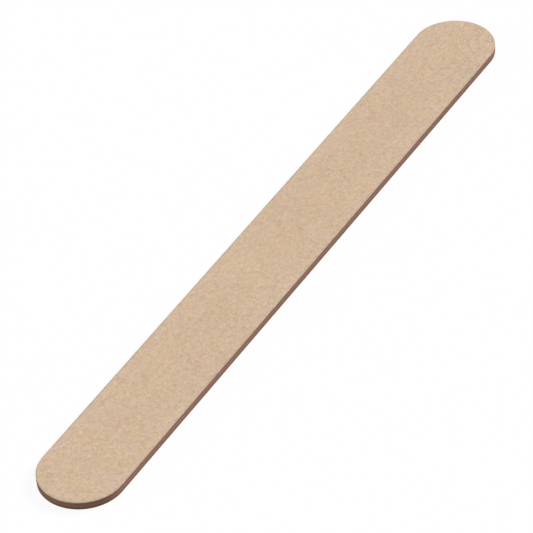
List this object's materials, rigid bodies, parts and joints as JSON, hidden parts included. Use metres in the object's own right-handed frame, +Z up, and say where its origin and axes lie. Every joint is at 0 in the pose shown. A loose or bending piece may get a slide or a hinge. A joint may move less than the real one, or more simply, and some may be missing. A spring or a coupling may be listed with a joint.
{
  "type": "emery board",
  "caption": "Flat strip-shaped nail file with half-round ends: a brown fibreboard core with fine abrasive paper glued to one face and coarse to the other.",
  "frame": {"origin": "middle of the coarse face, on which the board lies", "axes": "+X along the board, +Y across it, +Z up out of the fine face"},
  "size_m": [0.178, 0.019, 0.002],
  "materials": {
    "core": "dense brown fibreboard with a die-cut edge",
    "glue": "dried laminating glue",
    "fine_paper": "kraft backing paper",
    "fine_resin": "matt tan resin",
    "fine_grit": "fine tan abrasive grains",
    "coarse_paper": "brown kraft backing paper",
    "coarse_resin": "matt brown resin",
    "coarse_grit": "coarse brown abrasive grains"
  },
  "bodies": {
    "root": {"core_board": "core", "fine_glue_film": "glue", "fine_backing_paper": "fine_paper", "fine_make_coat": "fine_resin", "fine_grain_layer": "fine_grit", "fine_size_coat": "fine_resin", "coarse_glue_film": "glue", "coarse_backing_paper": "coarse_paper", "coarse_make_coat": "coarse_resin", "coarse_grain_layer": "coarse_grit", "coarse_size_coat": "coarse_resin"}
  },
  "joints": []
}
